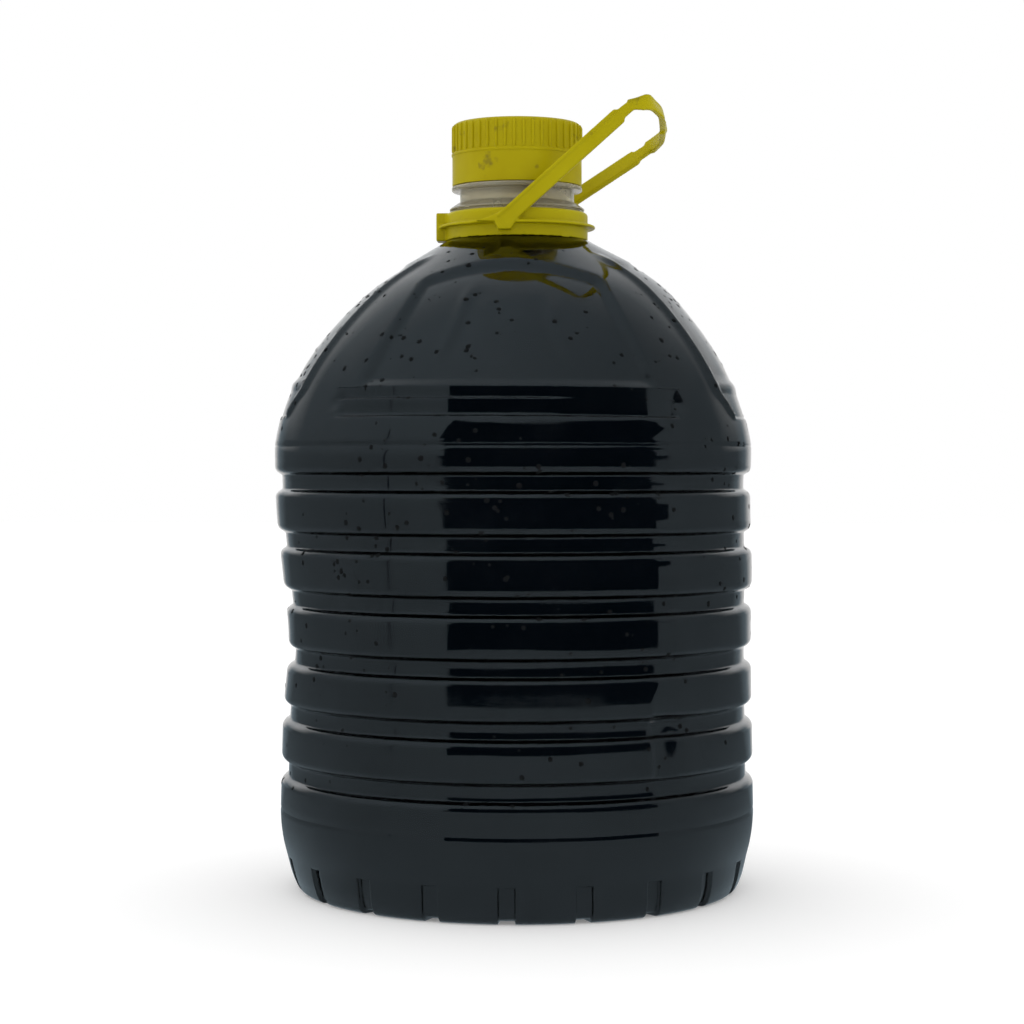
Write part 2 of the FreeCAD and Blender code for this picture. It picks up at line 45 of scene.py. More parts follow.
print("vinegar jug: frame loaded")

# Places that the pieces share. Every size in this script is in millimetres, up to where a mesh is made.
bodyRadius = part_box("bottle")[1].x / mm
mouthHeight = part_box("bottle")[1].z / mm
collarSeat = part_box("carry_handle")[0].z / mm
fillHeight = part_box("vinegar")[1].z / mm


def smoothRamp(value):
    value = min(max(value, 0.0), 1.0)
    return value * value * (3 - 2 * value)


def bell(distance, width):
    return math.exp(-(distance / width) ** 2)


def around(angle):
    return (angle + math.pi) % (2 * math.pi) - math.pi


# Degrees round the jug from its front, up to 180 either way.
def degreesRound(angle):
    return math.degrees(around(angle))


def evenAngles(count):
    return [2 * math.pi * index / count for index in range(count)]


# The place of a profile's point once it is turned round the jug's axis, from the front.
def turned(across, angle, height):
    return Vector((across * math.sin(angle), -across * math.cos(angle), height))


# A line through corners (across, up, rounding, degrees a step), long runs divided.
def roundedLine(corners, longestRun):
    points = []
    for index, corner in enumerate(corners):
        here = Vector(corner[:2])
        if len(corner) == 2:
            bend = [here]
        else:
            back = (Vector(corners[index - 1][:2]) - here).normalized()
            onward = (Vector(corners[index + 1][:2]) - here).normalized()
            half = back.angle(onward) / 2
            centre = here + (back + onward).normalized() * (corner[2] / math.sin(half))
            spoke = here + back * (corner[2] / math.tan(half)) - centre
            turn = math.pi - 2 * half
            if back.x * onward.y - back.y * onward.x > 0:
                turn = -turn
            count = max(1, round(abs(math.degrees(turn)) / corner[3]))
            bend = []
            for step in range(count + 1):
                swing = turn * step / count
                bend.append(centre + Vector((spoke.x * math.cos(swing) - spoke.y * math.sin(swing),
                                             spoke.x * math.sin(swing) + spoke.y * math.cos(swing))))
        if points:
            start = points[-1]
            pieces = math.ceil((bend[0] - start).length / longestRun)
            points += [start.lerp(bend[0], step / pieces) for step in range(1, pieces)]
        points += bend
    return points


def runLengths(points):
    lengths = [0.0]
    for before, after in zip(points, points[1:]):
        lengths.append(lengths[-1] + (after - before).length)
    return lengths


def turnedRings(points, angles):
    return [([turned(point.x, angle, point.y) for angle in angles], angles) for point in points]


# Rings of points stacked into one skin. A ring is (points, angles); a pole is (point, None).
def skinMesh(name, rings):
    points, faces, starts = [], [], []
    for ring, angles in rings:
        starts.append(len(points))
        points += ring if angles else [ring]
    for number in range(len(rings) - 1):
        low, high = rings[number][1], rings[number + 1][1]
        a, b = starts[number], starts[number + 1]
        if low is None:
            faces += [(a, b + (i + 1) % len(high), b + i) for i in range(len(high))]
        elif high is None:
            faces += [(a + i, a + (i + 1) % len(low), b) for i in range(len(low))]
        elif len(low) == len(high):
            count = len(low)
            faces += [(a + i, a + (i + 1) % count, b + (i + 1) % count, b + i) for i in range(count)]
        else:   # the ring that lags behind takes the next step, so triangles join unequal rings
            i = j = 0
            while i < len(low) or j < len(high):
                nextLow = low[i + 1] if i + 1 < len(low) else low[0] + 2 * math.pi + (i - len(low) + 1)
                nextHigh = high[j + 1] if j + 1 < len(high) else high[0] + 2 * math.pi + (j - len(high) + 1)
                if nextLow <= nextHigh:
                    faces.append((a + i % len(low), a + (i + 1) % len(low), b + j % len(high)))
                    i += 1
                else:
                    faces.append((a + i % len(low), b + (j + 1) % len(high), b + j % len(high)))
                    j += 1
    data = bpy.data.meshes.new(name)
    data.from_pydata([point * mm for point in points], [], faces)
    data.validate()
    data.shade_smooth()
    return data


def addPiece(name, data):
    piece = bpy.data.objects.new(name, data)
    bpy.context.scene.collection.objects.link(piece)
    return piece


# Replaces a piece's mesh with what its modifiers make of it.
def flatten(piece):
    bpy.context.view_layer.update()
    shape = piece.evaluated_get(bpy.context.evaluated_depsgraph_get())
    data = bpy.data.meshes.new_from_object(shape)
    piece.modifiers.clear()
    piece.data = data
    return piece


# Gives a node's inputs their values. A value that is another node's socket is linked.
def setInputs(node, values):
    for key, value in values.items():
        if isinstance(value, bpy.types.NodeSocket):
            node.id_data.links.new(value, node.inputs[key])
        else:
            node.inputs[key].default_value = value
    return node


def addNode(tree, kind, values=None, **settings):
    node = tree.nodes.new(kind)
    for key, value in settings.items():
        setattr(node, key, value)
    return setInputs(node, values or {})


def addMath(tree, operation, first, second):
    return addNode(tree, "ShaderNodeMath", {0: first, 1: second}, operation=operation).outputs[0]


def addNoise(tree, place, scale, detail=4.0, roughness=0.55):
    return addNode(tree, "ShaderNodeTexNoise", {
        "Vector": place, "Scale": scale, "Detail": detail, "Roughness": roughness}).outputs["Fac"]


def addRange(tree, source, fromLow, fromHigh, toLow=0.0, toHigh=1.0):
    return addNode(tree, "ShaderNodeMapRange", {
        "Value": source, "From Min": fromLow, "From Max": fromHigh,
        "To Min": toLow, "To Max": toHigh}).outputs["Result"]


def addColours(tree, source, stops):
    ramp = addNode(tree, "ShaderNodeValToRGB", {"Fac": source})
    while len(ramp.color_ramp.elements) < len(stops):
        ramp.color_ramp.elements.new(0.5)
    for element, (place, colour) in zip(ramp.color_ramp.elements, stops):
        element.position = place
        element.color = (*colour, 1)
    return ramp.outputs["Color"]


def mixColour(tree, share, first, second):
    first, second = [(*colour, 1) if isinstance(colour, tuple) else colour for colour in (first, second)]
    return addNode(tree, "ShaderNodeMix", {"Factor": share, "A": first, "B": second},
                   data_type="RGBA").outputs["Result"]


def addBump(tree, height, strength, distance):
    return addNode(tree, "ShaderNodeBump", {
        "Height": height, "Strength": strength, "Distance": distance}).outputs["Normal"]


# A new material: its tree, the shader to fill in, and the piece's own coordinates.
def newMaterial(name):
    material = bpy.data.materials.new(name)
    material.use_nodes = True
    tree = material.node_tree
    place = addNode(tree, "ShaderNodeTexCoord").outputs["Object"]
    return material, tree, tree.nodes["Principled BSDF"], place


clearPet = {
    "colour": (0.97, 0.98, 0.97, 1), "ior": 1.57,
    "filmScale": 42, "smooth": 0.03, "dull": 0.17,   # a thin uneven film dulls the gloss
    "waveScale": 38, "waveStrength": 0.5, "waveHeight": 0.00012,
}


def makeClearPet():
    material, tree, plastic, place = newMaterial("clearPet")
    film = addNoise(tree, place, clearPet["filmScale"], 6.0, 0.62)
    waves = addNoise(tree, place, clearPet["waveScale"], 2.0)
    setInputs(plastic, {
        "Base Color": clearPet["colour"], "Transmission Weight": 1.0, "IOR": clearPet["ior"],
        "Roughness": addRange(tree, film, 0.47, 0.72, clearPet["smooth"], clearPet["dull"]),
        "Normal": addBump(tree, waves, clearPet["waveStrength"], clearPet["waveHeight"])})
    return material


# The neck's thick wall: its base colour is a painted yellow-beige that stands in for the collar and cap seen
# through it, and dried vinegar clouds it.
neckPet = {
    "deep": (0.66, 0.585, 0.39), "pale": (0.79, 0.735, 0.54), "clear": 0.72, "smooth": 0.16, "dull": 0.3,
}


def makeNeckPet():
    material, tree, plastic, place = newMaterial("neckPet")
    clouds = addNoise(tree, place, 60)
    film = addNoise(tree, place, 90)
    # the base colour paints the yellow of the collar and cap that shows through the wall
    setInputs(plastic, {
        "Base Color": addColours(tree, clouds, [(0.3, neckPet["deep"]), (0.7, neckPet["pale"])]),
        "Transmission Weight": neckPet["clear"], "IOR": clearPet["ior"],
        "Roughness": addRange(tree, film, 0.3, 0.7, neckPet["smooth"], neckPet["dull"])})
    return material


darkVinegar = {
    "scale": 30,
    "stops": [(0.4, (0.0005, 0.0006, 0.0008)), (0.58, (0.0018, 0.002, 0.0024)), (0.72, (0.0042, 0.0046, 0.0054))],
}


def makeVinegarMaterial():
    material, tree, liquid, place = newMaterial("darkVinegar")
    cloud = addNoise(tree, place, darkVinegar["scale"], 7.0, 0.62)
    setInputs(liquid, {
        "Base Color": addColours(tree, cloud, darkVinegar["stops"]),
        "Roughness": 0.6, "Specular IOR Level": 0.0})   # its gloss is the bottle's
    return material


# Moulded yellow polythene: cloudy colour, fine mould grain, a few handling smudges.
yellowPlastic = {
    "ior": 1.5, "gloss": 0.08, "roughnessSpread": 0.07, "smudgeColour": (0.13, 0.10, 0.02),
    "scatter": 0.12, "scatterReach": (0.002, 0.0016, 0.0003),
    "grainScale": 900, "grainStrength": 0.25, "grainHeight": 0.00008,
    "cap": {
        "light": (0.46, 0.39, 0.004), "deep": (0.40, 0.325, 0.002), "roughness": 0.36, "smudge": 0.6},
    "collar": {
        "light": (0.48, 0.415, 0.004), "deep": (0.43, 0.365, 0.002), "roughness": 0.38, "smudge": 0.45},
}


def makeYellow(name, shade):
    material, tree, plastic, place = newMaterial(name)
    yellow = yellowPlastic
    cloud = addColours(tree, addNoise(tree, place, 45), [(0.3, shade["deep"]), (0.7, shade["light"])])
    smudges = addRange(tree, addNoise(tree, place, 150, 3.0), 0.63, 0.74, 0.0, shade["smudge"])
    smooth = shade["roughness"] - yellow["roughnessSpread"]
    dull = shade["roughness"] + yellow["roughnessSpread"]
    grain = addNoise(tree, place, yellow["grainScale"], 3.0)
    setInputs(plastic, {
        "Base Color": mixColour(tree, smudges, cloud, yellow["smudgeColour"]),
        "Roughness": addRange(tree, addNoise(tree, place, 120), 0.3, 0.7, smooth, dull),
        "IOR": yellow["ior"], "Specular IOR Level": yellow["gloss"],
        "Subsurface Weight": yellow["scatter"], "Subsurface Radius": yellow["scatterReach"],
        "Normal": addBump(tree, grain, yellow["grainStrength"], yellow["grainHeight"])})
    return material


petMaterial = makeClearPet()
neckMaterial = makeNeckPet()
vinegarMaterial = makeVinegarMaterial()
capYellow = makeYellow("capYellow", yellowPlastic["cap"])
collarYellow = makeYellow("collarYellow", yellowPlastic["collar"])
print("materials ready")


bottle = {
    "pushUp": 12.0, "footWidth": 10.8, "footRound": 3.0, "footCorner": 4.0,
    "footSweep": 55.0, "sweepHeight": 31.0,
    # the foot reaches further out in front: how far, where, how wide, and up to what height
    "frontFoot": 5.2, "frontFootAngle": 7, "frontFootSpread": 66, "frontFootFrom": 69, "frontFootTop": 15,
    "notchCount": 20, "notchWidth": 5.8, "notchDepth": 1.5, "notchTop": 13.0, "notchRun": 4.0,
    "notchInset": 4.0, "notchSoftness": 0.2,
    "creaseHeight": 30.6, "creaseDepth": 0.22, "creaseHalf": 0.9,
    "lowestRing": 45.6, "ringPitch": 21.5, "ringCount": 6, "ringDepth": 2.7,
    "ringMouthHalf": 4.3, "ringFloorHalf": 2.6, "lipRound": 3.0, "floorRound": 1.0,
    "shoulderBase": 166.4, "shoulderRadius": 92.0, "leanAngle": 9.3, "coneAngle": 57.0,
    "stepsStart": 173.5, "stepFoot": 176.2, "tread": 182.6, "ledge": 186.9, "panelFoot": 189.4,
    "stepsEnd": 190.5, "setBack": 0.3, "stepHalfWidth": 61.0, "stepBevel": 1.0,
    "mergeAngle": 6, "mergeSpread": 10,   # right of here the two steps run together
    "panelDepth": 2.0, "panelHalfWidth": 52.6, "panelHeadHalfWidth": 33.0, "panelBevel": 3.0,
    "panelHead": 227.0, "panelCrown": 234.0, "panelCrownDrop": 7.0, "panelCrownRun": 2.4,
    "shoulderEnd": 244.6,
    "neckRoot": 24.5, "neckRootHeight": 245.6, "bead": 25.5, "beadRise": 11.5, "beadHeight": 0.6,
    "ringLine": 22.6, "ringLineRise": 2.6, "neck": 21.6, "neckRise": 2.8, "neckBore": 19.4,
    "ledgeRing": 24.7, "ledgeRise": 18.8, "ledgeRingHeight": 1.7, "finish": 20.9,
}
lean = math.radians(bottle["leanAngle"])
cone = math.radians(bottle["coneAngle"])
arcAcross = bodyRadius - bottle["shoulderRadius"] * math.cos(lean)
arcHeight = bottle["shoulderBase"] - bottle["shoulderRadius"] * math.sin(lean)
sweepCentre = Vector((bodyRadius - bottle["footSweep"], bottle["sweepHeight"]))
cornerReach = bottle["footSweep"] - bottle["footCorner"]
cornerAngle = math.asin((bottle["sweepHeight"] - bottle["footCorner"]) / cornerReach)
cornerCentre = Vector((sweepCentre.x + cornerReach * math.cos(cornerAngle), bottle["footCorner"]))
notchRadius = bodyRadius - bottle["notchInset"]
notchPeriod = 2 * math.pi / bottle["notchCount"]


# Radius of the plain shoulder at a height, that far inside the skin, and which way it faces.
def shoulderAt(height, inset=0.0):
    radius = bottle["shoulderRadius"] - inset
    headHeight = arcHeight + radius * math.sin(cone)
    if height < headHeight:
        across = math.sqrt(radius ** 2 - (height - arcHeight) ** 2)
        return arcAcross + across, Vector((across, height - arcHeight)).normalized()
    across = arcAcross + radius * math.cos(cone) - (height - headHeight) * math.tan(cone)
    return across, Vector((math.cos(cone), math.sin(cone)))


lowerRiser = shoulderAt(bottle["tread"])[0] - bottle["setBack"]
upperRiser = shoulderAt(bottle["ledge"])[0] - bottle["setBack"]


# What use has done to the wall. Depths count inwards; angles and spreads are in degrees.
dents = {
    "pinch": 3.4, "pinchHeight": 94, "pinchReach": 19, "pinchAngle": -97, "pinchSpread": 26,
    "foldAngle": 34.0, "foldEdge": 0.9,
    # the dimples beside the fold: angle, height, half width, half height, depth
    "dimples": [(38.5, 69.5, 6.5, 4.5, 1.35), (37.0, 60.5, 5.0, 4.0, 1.15), (37.5, 52.0, 5.0, 3.4, 0.95)],
    "waist": 2.1, "waistHeight": 88, "waistReach": 72, "waistSpread": 42,
    # the shoulder's bulges at the right and the left: angle, depth
    "bulges": [(96, -2.6), (-92, -1.1)], "bulgeHeight": 230, "bulgeReach": 11, "bulgeSpread": 40,
    "sway": -1.5, "swayFoot": 115, "swayFootRun": 35, "swayHead": 225, "swayHeadRun": 45,
    "wave": 0.30, "waveRound": 2.1, "waveUp": 42, "waveFoot": 30, "waveLean": 0.2,
    "stiffHeight": 110, "stiffShare": 0.45,   # the wall waves less above this height
}


def dentDepth(angle, height):
    degrees = degreesRound(angle)
    fromPinch = degreesRound(angle - math.radians(dents["pinchAngle"]))
    depth = dents["pinch"] * bell(height - dents["pinchHeight"], dents["pinchReach"]) \
        * bell(fromPinch, dents["pinchSpread"])
    folded = smoothRamp((degrees - dents["foldAngle"]) / dents["foldEdge"])
    for middle, level, halfWidth, halfHeight, deep in dents["dimples"]:
        depth += folded * deep * bell(degrees - middle, halfWidth) * bell(height - level, halfHeight)
    depth += dents["waist"] * bell(height - dents["waistHeight"], dents["waistReach"]) \
        * bell(abs(degrees) - 90, dents["waistSpread"])
    for middle, deep in dents["bulges"]:
        depth += deep * bell(height - dents["bulgeHeight"], dents["bulgeReach"]) \
            * bell(degrees - middle, dents["bulgeSpread"])
    depth -= math.sin(angle) * dents["sway"] \
        * smoothRamp((height - dents["swayFoot"]) / dents["swayFootRun"]) \
        * smoothRamp((dents["swayHead"] - height) / dents["swayHeadRun"])
    loose = 1.0 if height < dents["stiffHeight"] else dents["stiffShare"]
    spot = Vector((dents["waveRound"] * math.sin(angle), dents["waveRound"] * math.cos(angle),
                   height / dents["waveUp"]))
    depth += dents["wave"] * loose * smoothRamp(height / dents["waveFoot"]) \
        * (noise.noise(spot) + dents["waveLean"])
    return depth


# The recessed shield on each side of the shoulder, its hooked foot and the ridge along its edge.
sideShield = {
    "depth": 0.8, "foot": 189.4, "footRun": 3.0, "head": 234.4, "headRun": 2.0, "bevel": 2.0,
    "widest": 186.4, "rise": 55.0, "halfWidth": 38, "taper": 20.5, "belly": 6.6, "hookSlope": 0.75,
    "hookDepth": 0.55, "hookFoot": 176.5, "hookFootRun": 1.5, "hookHead": 186, "hookHeadRun": 3,
    "ridge": 1.15, "ridgeOut": 1.0, "ridgeWidth": 2.1,
    "ridgeFoot": 176, "ridgeFootRun": 3, "ridgeHead": 238, "ridgeHeadRun": 5,
}


def shieldDepth(angle, height, across):
    shield = sideShield
    fromSide = abs(abs(around(angle)) - math.pi / 2)
    aside = across * math.sin(min(fromSide, math.pi / 2))
    rise = (height - shield["widest"]) / shield["rise"]
    if rise > 0:
        edge = shield["halfWidth"] - shield["taper"] * rise \
            + shield["belly"] * math.sin(math.pi * min(rise, 1))
    else:
        edge = shield["halfWidth"] + (height - shield["widest"]) * shield["hookSlope"]
    inside = edge - aside
    body = smoothRamp(inside / shield["bevel"])
    depth = shield["depth"] * body * smoothRamp((height - shield["foot"]) / shield["footRun"]) \
        * smoothRamp((shield["head"] - height) / shield["headRun"])
    depth += shield["hookDepth"] * body * smoothRamp((height - shield["hookFoot"]) / shield["hookFootRun"]) \
        * (1 - smoothRamp((height - shield["hookHead"]) / shield["hookHeadRun"]))
    depth -= shield["ridge"] * bell(inside + shield["ridgeOut"], shield["ridgeWidth"]) \
        * smoothRamp((height - shield["ridgeFoot"]) / shield["ridgeFootRun"]) \
        * smoothRamp((shield["ridgeHead"] - height) / shield["ridgeHeadRun"])
    return depth


# Soft folds that blowing leaves in the front and back panels, and the dimples at the steps' ends.
panelMarks = {
    # each fold: its angle and height at the top, the same at the foot, and how far it stands out
    "folds": [(-15.3, 223.0, -18.2, 197.5, 0.55), (13.2, 219.0, 17.3, 197.0, 0.45)],
    "foldWidth": 2.0, "fade": 0.15, "hollowShare": 0.8, "hollowAside": 4.0,
    "dimpleAngles": (-45.0, 44.0), "dimpleHeight": 181.5, "dimpleDepth": 1.1, "dimpleSpread": 5.0,
}


def markDepth(angle, height, across):
    marks = panelMarks
    degrees = degreesRound(angle)
    if abs(degrees) > 90:
        degrees = degreesRound(angle + math.pi)
    depth = 0.0
    for topAngle, top, footAngle, foot, tall in marks["folds"]:
        along = (top - height) / (top - foot)
        fade = smoothRamp((along + marks["fade"]) / (2 * marks["fade"])) \
            * smoothRamp((1 + marks["fade"] - along) / (2 * marks["fade"]))
        line = topAngle + (footAngle - topAngle) * along ** 2 if along > 0 else topAngle
        aside = math.radians(degrees - line) * across
        hollow = bell(aside + math.copysign(marks["hollowAside"], line), marks["hollowAside"])
        depth -= fade * tall * (bell(aside, marks["foldWidth"]) - marks["hollowShare"] * hollow)
    for end in marks["dimpleAngles"]:
        aside = math.radians(degrees - end) * across
        off = aside ** 2 + (height - marks["dimpleHeight"]) ** 2
        depth += marks["dimpleDepth"] * math.exp(-off / marks["dimpleSpread"])
    return depth


# Where the skin's rows and columns lie: close where the shape turns, wide where it runs on.
skinGrid = {
    "pushUpRows": (12, 26, 40, 53), "footRun": 2.4, "cornerSteps": 6,
    "footHeights": (2.8, 3.9, 5.2, 6.6, 8.2, 9.8, 11.3), "notchEdge": (-0.5, -0.15, 0.15, 0.5),
    "overNotch": (14.6, 16.4), "sweepHeights": (18.2, 20.4, 22.8, 25.2, 27.4, 28.6), "bodyRun": 3.6,
    "belowSteps": 2.2, "stepRun": 1.6, "panelRow": 1.55, "headRow": 0.25, "headStart": 237,
    "notchStep": 0.16, "notchSteps": (-2.2, -1, 0, 1, 2.2), "betweenNotches": (0.22, 0.45, 0.72, 1.0),
    "beforeFold": 0.15, "afterFold": 0.2, "foldColumns": 36,
    "bodyColumns": 200, "shoulderColumns": 352, "neckColumns": 96, "capColumns": 176,
}


# The foot's sweep at a height.
def sweepAt(height):
    across = math.sqrt(bottle["footSweep"] ** 2 - (sweepCentre.y - height) ** 2)
    return Vector((sweepCentre.x + across, height))


def footRows():
    footInner = cornerCentre.x - bottle["footWidth"]
    dome = (footInner ** 2 + bottle["pushUp"] ** 2) / (2 * bottle["pushUp"])
    line = [(across, bottle["pushUp"] - dome + math.sqrt(dome ** 2 - across ** 2))
            for across in skinGrid["pushUpRows"]]
    line += [(footInner, 0, bottle["footRound"], 20), (cornerCentre.x - 0.6, 0)]
    line = roundedLine(line, skinGrid["footRun"])
    for step in range(skinGrid["cornerSteps"] + 1):
        swing = math.pi / 2 - (math.pi / 2 - cornerAngle) * step / skinGrid["cornerSteps"]
        line.append(cornerCentre + bottle["footCorner"] * Vector((math.cos(swing), -math.sin(swing))))
    notchEdge = [bottle["notchTop"] + edge for edge in skinGrid["notchEdge"]]
    heights = [*skinGrid["footHeights"], *notchEdge, *skinGrid["overNotch"]]
    return line + [sweepAt(height) for height in heights]


def bodyRows():
    sweep = [sweepAt(height) for height in skinGrid["sweepHeights"]]
    crease = bottle["creaseHeight"]
    body = [tuple(sweep[-1]), (bodyRadius, crease - bottle["creaseHalf"]),
            (bodyRadius - bottle["creaseDepth"], crease + 0.1, 0.2, 20),
            (bodyRadius, crease + bottle["creaseHalf"])]
    floor = bodyRadius - bottle["ringDepth"]
    for number in range(bottle["ringCount"]):
        middle = bottle["lowestRing"] + number * bottle["ringPitch"]
        body += [(bodyRadius, middle - bottle["ringMouthHalf"], bottle["lipRound"], 9),
                 (floor, middle - bottle["ringFloorHalf"], bottle["floorRound"], 15),
                 (floor, middle + bottle["ringFloorHalf"], bottle["floorRound"], 15),
                 (bodyRadius, middle + bottle["ringMouthHalf"], bottle["lipRound"], 9)]
    base = bottle["shoulderBase"]
    body += [(bodyRadius, base - 0.5), (bodyRadius - 0.4, base), (shoulderAt(base + 0.5)[0], base + 0.5)]
    return sweep[:-1] + roundedLine(body, skinGrid["bodyRun"])


# The steps under the panel, each row with its place on the plain shoulder.
def stepRows():
    start, end = bottle["stepsStart"], bottle["stepsEnd"]
    foot, tread, ledge = bottle["stepFoot"], bottle["tread"], bottle["ledge"]
    panelFoot, panelDepth = bottle["panelFoot"], bottle["panelDepth"]
    steps = roundedLine([
        (shoulderAt(start)[0], start), (shoulderAt(foot)[0], foot, 0.7, 18),
        (lowerRiser, foot + 0.3, 1.5, 14), (lowerRiser, tread, 0.6, 18),
        (upperRiser, tread + 0.2, 0.6, 18), (upperRiser, ledge, 0.9, 14),
        (shoulderAt(panelFoot, panelDepth)[0], panelFoot, 1.0, 18),
        (shoulderAt(end, panelDepth)[0], end)], skinGrid["stepRun"])
    lengths = runLengths(steps)
    rows = []
    for point, length in zip(steps, lengths):
        level = start + (end - start) * length / lengths[-1]
        across, out = shoulderAt(level)
        rows.append((Vector((across, level)), point, out, "shoulder"))
    return rows


# The half outline as stacked rows: (plain place, place in a panel's middle, way out, columns).
def bottleRows():
    rows = [(point, point, None, "foot") for point in footRows()]
    rows += [(point, point, Vector((1, 0)), "body") for point in bodyRows()]
    height = bottle["shoulderBase"] + 2
    while height < bottle["stepsStart"] - 0.5:
        across, out = shoulderAt(height)
        rows.append((Vector((across, height)), Vector((across, height)), out, "shoulder"))
        height += skinGrid["belowSteps"]
    rows += stepRows()
    height = bottle["stepsEnd"]
    while height < bottle["shoulderEnd"]:
        height += skinGrid["panelRow"] * shoulderAt(height)[1].x + skinGrid["headRow"]
        across, out = shoulderAt(height)
        plain = Vector((across, height))
        zone = "shoulder" if height < skinGrid["headStart"] else "body"
        rows.append((plain, plain - out * bottle["panelDepth"], out, zone))
    return rows


def footAngles():
    edge = bottle["notchWidth"] / 2 / notchRadius
    fine = math.radians(skinGrid["notchStep"])
    offsets = [0, 0.45 * edge] + [edge + fine * steps for steps in skinGrid["notchSteps"]]
    offsets += [edge + (notchPeriod / 2 - edge) * share for share in skinGrid["betweenNotches"]]
    angles = []
    for number in range(bottle["notchCount"]):
        middle = number * notchPeriod
        angles += [middle + offset for offset in offsets]
        angles += [middle - offset for offset in offsets[1:-1]]
    return sorted(angle % (2 * math.pi) for angle in angles)


def bodyAngles():
    fold = math.radians(dents["foldAngle"])
    start, end = fold - skinGrid["beforeFold"], fold + skinGrid["afterFold"]
    angles = [angle for angle in evenAngles(skinGrid["bodyColumns"]) if not start < angle < end]
    count = skinGrid["foldColumns"]
    return sorted(angles + [start + (end - start) * step / count for step in range(count + 1)])


def notchDepth(angle, row):
    soft = bottle["notchSoftness"]
    aside = abs((angle + notchPeriod / 2) % notchPeriod - notchPeriod / 2) * notchRadius
    wide = smoothRamp((bottle["notchWidth"] / 2 + 1.1 * soft - aside) / (2.2 * soft))
    high = smoothRamp((bottle["notchTop"] + soft - row.y) / (2 * soft))
    deep = smoothRamp((row.x - cornerCentre.x + bottle["notchRun"]) / 3.0)
    return bottle["notchDepth"] * wide * high * deep


def footPoint(angle, plain):
    way = Vector((0, -1))
    if plain.x > cornerCentre.x:
        onCorner = plain.y < bottle["footCorner"] * (1 - math.sin(cornerAngle)) + 0.01
        way = (plain - (cornerCentre if onCorner else sweepCentre)).normalized()
    place = plain - way * notchDepth(angle, plain)
    front = bell(degreesRound(angle) - bottle["frontFootAngle"], bottle["frontFootSpread"])
    place.x += bottle["frontFoot"] * front * smoothRamp((plain.x - bottle["frontFootFrom"]) / 9) \
        * smoothRamp((bottle["frontFootTop"] - plain.y) / bottle["frontFootTop"])
    place.x -= dentDepth(angle, plain.y) * smoothRamp(plain.y / 14)
    return place


# A point of the shoulder: on the plain cone, or set back in a panel or its steps.
def shoulderPoint(angle, plain, middle, out):
    onSteps = plain.y < bottle["stepsEnd"] + 0.1 and middle.y < bottle["ledge"] + 0.01
    fromFront = abs((angle + math.pi / 2) % math.pi - math.pi / 2)
    aside = plain.x * math.sin(fromFront)
    if onSteps:
        half, bevel = bottle["stepHalfWidth"], bottle["stepBevel"]
    else:
        rise = (plain.y - bottle["panelFoot"]) / (bottle["panelHead"] - bottle["panelFoot"])
        half = bottle["panelHalfWidth"] + (bottle["panelHeadHalfWidth"] - bottle["panelHalfWidth"]) * rise
        bevel = bottle["panelBevel"]
    crown = bottle["panelCrown"] - bottle["panelCrownDrop"] * (aside / half) ** 2
    share = smoothRamp((half - aside) / bevel) * smoothRamp((crown - plain.y) / bottle["panelCrownRun"])
    place = plain.lerp(middle, share)
    if onSteps and middle.y > bottle["stepFoot"] + 0.6:
        up = (middle.y - bottle["stepFoot"]) / (bottle["ledge"] - bottle["stepFoot"])
        merged = smoothRamp((degreesRound(angle) - bottle["mergeAngle"]) / bottle["mergeSpread"])
        place.x += (lowerRiser + (upperRiser - lowerRiser) * up - middle.x) * merged * share
    push = shieldDepth(angle, plain.y, plain.x) + markDepth(angle, plain.y, plain.x)
    return place - out * (push + dentDepth(angle, plain.y))


def skinPoint(angle, plain, middle, out, zone):
    if zone == "foot":
        place = footPoint(angle, plain)
    elif plain.y < bottle["shoulderBase"] + 0.5:
        place = plain - out * dentDepth(angle, plain.y)
    else:
        place = shoulderPoint(angle, plain, middle, out)
    return turned(place.x, angle, place.y)


columns = {"foot": footAngles(), "body": bodyAngles(), "shoulder": evenAngles(skinGrid["shoulderColumns"]),
           "neck": evenAngles(skinGrid["neckColumns"])}
rows = bottleRows()
outerRings = [(Vector((0, 0, bottle["pushUp"])), None)]
for plain, middle, out, zone in rows:
    ring = [skinPoint(angle, plain, middle, out, zone) for angle in columns[zone]]
    outerRings.append((ring, columns[zone]))
print("bottle skin:", len(rows), "rows")


def neckLine():
    root, rootHeight = bottle["neckRoot"], bottle["neckRootHeight"]
    bead, beadHeight = bottle["bead"], collarSeat + bottle["beadRise"]
    neck, neckHeight = bottle["neck"], beadHeight + bottle["neckRise"]
    ledgeRing, ledge = bottle["ledgeRing"], collarSeat + bottle["ledgeRise"]
    finish, bore = bottle["finish"], bottle["neckBore"]
    ledgeTop = ledge + bottle["ledgeRingHeight"]
    return roundedLine([
        (root, rootHeight, 0.4, 45), (root, beadHeight, 0.3, 45), (bead, beadHeight, 0.25, 30),
        (bead, beadHeight + bottle["beadHeight"], 0.25, 30),
        (bottle["ringLine"], beadHeight + bottle["ringLineRise"], 0.5, 20), (neck, neckHeight, 0.4, 20),
        (neck, ledge, 0.6, 20), (ledgeRing, ledge, 0.5, 20), (ledgeRing, ledgeTop, 0.5, 20),
        (finish, ledgeTop, 0.4, 30), (finish, mouthHeight, 0.5, 20),
        (bore, mouthHeight, 0.4, 30), (bore, 262), (bore, rootHeight + 2)], 3.0)


